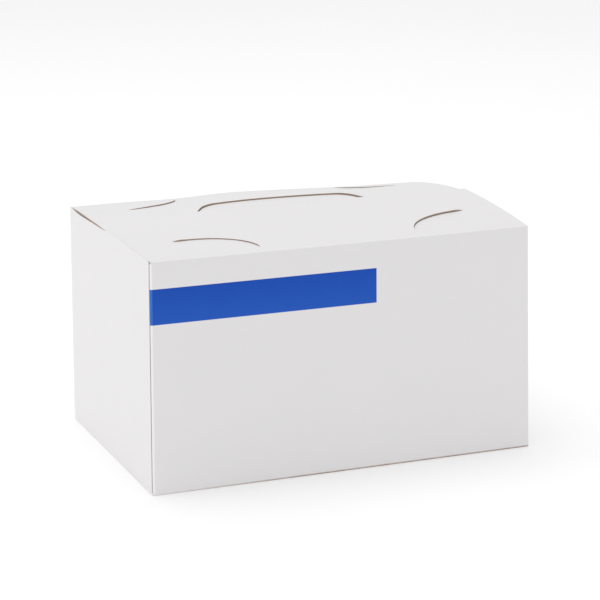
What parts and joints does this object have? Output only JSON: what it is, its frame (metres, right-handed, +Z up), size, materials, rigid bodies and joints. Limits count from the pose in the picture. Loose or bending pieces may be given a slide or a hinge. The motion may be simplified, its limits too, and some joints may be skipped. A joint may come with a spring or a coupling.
{
  "type": "boxed specimen containers",
  "caption": "White board carton with a tongue locked top, holding two layers of prefilled screw cap specimen jars.",
  "frame": {"origin": "middle of the carton's base, on the surface that it stands on", "axes": "+Z up, front wall towards -Y, +X to the right as seen from the front"},
  "size_m": [0.158, 0.1102, 0.0952],
  "materials": {
    "coated_board": "satin clay coated",
    "kraft_board": "matte",
    "adhesive": "matte",
    "jar_plastic": "translucent",
    "cap_plastic": "satin",
    "fixative": "clear liquid"
  },
  "bodies": {
    "carton": {"carton_walls": "coated_board", "side_seam_glue": "adhesive", "bottom_outer_flap": "coated_board", "bottom_left_flap": "coated_board", "bottom_right_flap": "coated_board", "bottom_inner_flap": "coated_board", "layer_pad": "kraft_board", "formalin_fills": "fixative", "jar_lower_1_1": "jar_plastic", "jar_lower_1_2": "jar_plastic", "jar_lower_1_3": "jar_plastic", "jar_lower_1_4": "jar_plastic", "jar_lower_2_1": "jar_plastic", "jar_lower_2_2": "jar_plastic", "jar_lower_2_3": "jar_plastic", "jar_lower_2_4": "jar_plastic", "jar_lower_3_1": "jar_plastic", "jar_lower_3_2": "jar_plastic", "jar_lower_3_3": "jar_plastic", "jar_lower_3_4": "jar_plastic", "jar_upper_1_1": "jar_plastic", "jar_upper_1_2": "jar_plastic", "jar_upper_1_3": "jar_plastic", "jar_upper_1_4": "jar_plastic", "jar_upper_2_1": "jar_plastic", "jar_upper_2_2": "jar_plastic", "jar_upper_2_3": "jar_plastic", "jar_upper_2_4": "jar_plastic", "jar_upper_3_1": "jar_plastic", "jar_upper_3_2": "jar_plastic", "jar_upper_3_3": "jar_plastic", "jar_upper_3_4": "jar_plastic"},
    "front_flap": {"front_top_flap": "coated_board"},
    "rear_flap": {"rear_top_flap": "coated_board"},
    "left_dust": {"left_dust_flap": "coated_board"},
    "right_dust": {"right_dust_flap": "coated_board"},
    "cap_lower_1_1": {"cap_lower_1_1": "cap_plastic"},
    "cap_lower_1_2": {"cap_lower_1_2": "cap_plastic"},
    "cap_lower_1_3": {"cap_lower_1_3": "cap_plastic"},
    "cap_lower_1_4": {"cap_lower_1_4": "cap_plastic"},
    "cap_lower_2_1": {"cap_lower_2_1": "cap_plastic"},
    "cap_lower_2_2": {"cap_lower_2_2": "cap_plastic"},
    "cap_lower_2_3": {"cap_lower_2_3": "cap_plastic"},
    "cap_lower_2_4": {"cap_lower_2_4": "cap_plastic"},
    "cap_lower_3_1": {"cap_lower_3_1": "cap_plastic"},
    "cap_lower_3_2": {"cap_lower_3_2": "cap_plastic"},
    "cap_lower_3_3": {"cap_lower_3_3": "cap_plastic"},
    "cap_lower_3_4": {"cap_lower_3_4": "cap_plastic"},
    "cap_upper_1_1": {"cap_upper_1_1": "cap_plastic"},
    "cap_upper_1_2": {"cap_upper_1_2": "cap_plastic"},
    "cap_upper_1_3": {"cap_upper_1_3": "cap_plastic"},
    "cap_upper_1_4": {"cap_upper_1_4": "cap_plastic"},
    "cap_upper_2_1": {"cap_upper_2_1": "cap_plastic"},
    "cap_upper_2_2": {"cap_upper_2_2": "cap_plastic"},
    "cap_upper_2_3": {"cap_upper_2_3": "cap_plastic"},
    "cap_upper_2_4": {"cap_upper_2_4": "cap_plastic"},
    "cap_upper_3_1": {"cap_upper_3_1": "cap_plastic"},
    "cap_upper_3_2": {"cap_upper_3_2": "cap_plastic"},
    "cap_upper_3_3": {"cap_upper_3_3": "cap_plastic"},
    "cap_upper_3_4": {"cap_upper_3_4": "cap_plastic"}
  },
  "joints": [
    {"name": "front_flap_hinge", "type": "hinge", "parent": "carton", "child": "front_flap", "pos_m": [0, -0.05515, 0.0896], "axis": [1, 0, 0], "range_deg": [0, 250]},
    {"name": "rear_flap_hinge", "type": "hinge", "parent": "carton", "child": "rear_flap", "pos_m": [0, 0.05515, 0.0896], "axis": [-1, 0, 0], "range_deg": [0, 150]},
    {"name": "left_dust_hinge", "type": "hinge", "parent": "carton", "child": "left_dust", "pos_m": [-0.079, 0, 0.08885], "axis": [0, -1, 0], "range_deg": [0, 112.5]},
    {"name": "right_dust_hinge", "type": "hinge", "parent": "carton", "child": "right_dust", "pos_m": [0.079, 0, 0.08885], "axis": [0, 1, 0], "range_deg": [0, 112.5]},
    {"name": "cap_lower_1_1_turn", "type": "hinge", "parent": "carton", "child": "cap_lower_1_1", "pos_m": [-0.0585, -0.03635, 0.0431], "axis": [0, 0, 1], "range_deg": [0, 360]},
    {"name": "cap_lower_1_2_turn", "type": "hinge", "parent": "carton", "child": "cap_lower_1_2", "pos_m": [-0.0195, -0.03635, 0.0431], "axis": [0, 0, 1], "range_deg": [0, 360]},
    {"name": "cap_lower_1_3_turn", "type": "hinge", "parent": "carton", "child": "cap_lower_1_3", "pos_m": [0.0195, -0.03635, 0.0431], "axis": [0, 0, 1], "range_deg": [0, 360]},
    {"name": "cap_lower_1_4_turn", "type": "hinge", "parent": "carton", "child": "cap_lower_1_4", "pos_m": [0.0585, -0.03635, 0.0431], "axis": [0, 0, 1], "range_deg": [0, 360]},
    {"name": "cap_lower_2_1_turn", "type": "hinge", "parent": "carton", "child": "cap_lower_2_1", "pos_m": [-0.0585, 0, 0.0431], "axis": [0, 0, 1], "range_deg": [0, 360]},
    {"name": "cap_lower_2_2_turn", "type": "hinge", "parent": "carton", "child": "cap_lower_2_2", "pos_m": [-0.0195, 0, 0.0431], "axis": [0, 0, 1], "range_deg": [0, 360]},
    {"name": "cap_lower_2_3_turn", "type": "hinge", "parent": "carton", "child": "cap_lower_2_3", "pos_m": [0.0195, 0, 0.0431], "axis": [0, 0, 1], "range_deg": [0, 360]},
    {"name": "cap_lower_2_4_turn", "type": "hinge", "parent": "carton", "child": "cap_lower_2_4", "pos_m": [0.0585, 0, 0.0431], "axis": [0, 0, 1], "range_deg": [0, 360]},
    {"name": "cap_lower_3_1_turn", "type": "hinge", "parent": "carton", "child": "cap_lower_3_1", "pos_m": [-0.0585, 0.03635, 0.0431], "axis": [0, 0, 1], "range_deg": [0, 360]},
    {"name": "cap_lower_3_2_turn", "type": "hinge", "parent": "carton", "child": "cap_lower_3_2", "pos_m": [-0.0195, 0.03635, 0.0431], "axis": [0, 0, 1], "range_deg": [0, 360]},
    {"name": "cap_lower_3_3_turn", "type": "hinge", "parent": "carton", "child": "cap_lower_3_3", "pos_m": [0.0195, 0.03635, 0.0431], "axis": [0, 0, 1], "range_deg": [0, 360]},
    {"name": "cap_lower_3_4_turn", "type": "hinge", "parent": "carton", "child": "cap_lower_3_4", "pos_m": [0.0585, 0.03635, 0.0431], "axis": [0, 0, 1], "range_deg": [0, 360]},
    {"name": "cap_upper_1_1_turn", "type": "hinge", "parent": "carton", "child": "cap_upper_1_1", "pos_m": [-0.0585, -0.03635, 0.0863], "axis": [0, 0, 1], "range_deg": [0, 360]},
    {"name": "cap_upper_1_2_turn", "type": "hinge", "parent": "carton", "child": "cap_upper_1_2", "pos_m": [-0.0195, -0.03635, 0.0863], "axis": [0, 0, 1], "range_deg": [0, 360]},
    {"name": "cap_upper_1_3_turn", "type": "hinge", "parent": "carton", "child": "cap_upper_1_3", "pos_m": [0.0195, -0.03635, 0.0863], "axis": [0, 0, 1], "range_deg": [0, 360]},
    {"name": "cap_upper_1_4_turn", "type": "hinge", "parent": "carton", "child": "cap_upper_1_4", "pos_m": [0.0585, -0.03635, 0.0863], "axis": [0, 0, 1], "range_deg": [0, 360]},
    {"name": "cap_upper_2_1_turn", "type": "hinge", "parent": "carton", "child": "cap_upper_2_1", "pos_m": [-0.0585, 0, 0.0863], "axis": [0, 0, 1], "range_deg": [0, 360]},
    {"name": "cap_upper_2_2_turn", "type": "hinge", "parent": "carton", "child": "cap_upper_2_2", "pos_m": [-0.0195, 0, 0.0863], "axis": [0, 0, 1], "range_deg": [0, 360]},
    {"name": "cap_upper_2_3_turn", "type": "hinge", "parent": "carton", "child": "cap_upper_2_3", "pos_m": [0.0195, 0, 0.0863], "axis": [0, 0, 1], "range_deg": [0, 360]},
    {"name": "cap_upper_2_4_turn", "type": "hinge", "parent": "carton", "child": "cap_upper_2_4", "pos_m": [0.0585, 0, 0.0863], "axis": [0, 0, 1], "range_deg": [0, 360]},
    {"name": "cap_upper_3_1_turn", "type": "hinge", "parent": "carton", "child": "cap_upper_3_1", "pos_m": [-0.0585, 0.03635, 0.0863], "axis": [0, 0, 1], "range_deg": [0, 360]},
    {"name": "cap_upper_3_2_turn", "type": "hinge", "parent": "carton", "child": "cap_upper_3_2", "pos_m": [-0.0195, 0.03635, 0.0863], "axis": [0, 0, 1], "range_deg": [0, 360]},
    {"name": "cap_upper_3_3_turn", "type": "hinge", "parent": "carton", "child": "cap_upper_3_3", "pos_m": [0.0195, 0.03635, 0.0863], "axis": [0, 0, 1], "range_deg": [0, 360]},
    {"name": "cap_upper_3_4_turn", "type": "hinge", "parent": "carton", "child": "cap_upper_3_4", "pos_m": [0.0585, 0.03635, 0.0863], "axis": [0, 0, 1], "range_deg": [0, 360]}
  ],
  "couplings": [
    {"joint": "rear_flap_hinge", "follows": "front_flap_hinge", "ratio": 0.6},
    {"joint": "left_dust_hinge", "follows": "front_flap_hinge", "ratio": 0.45},
    {"joint": "right_dust_hinge", "follows": "front_flap_hinge", "ratio": 0.45}
  ]
}
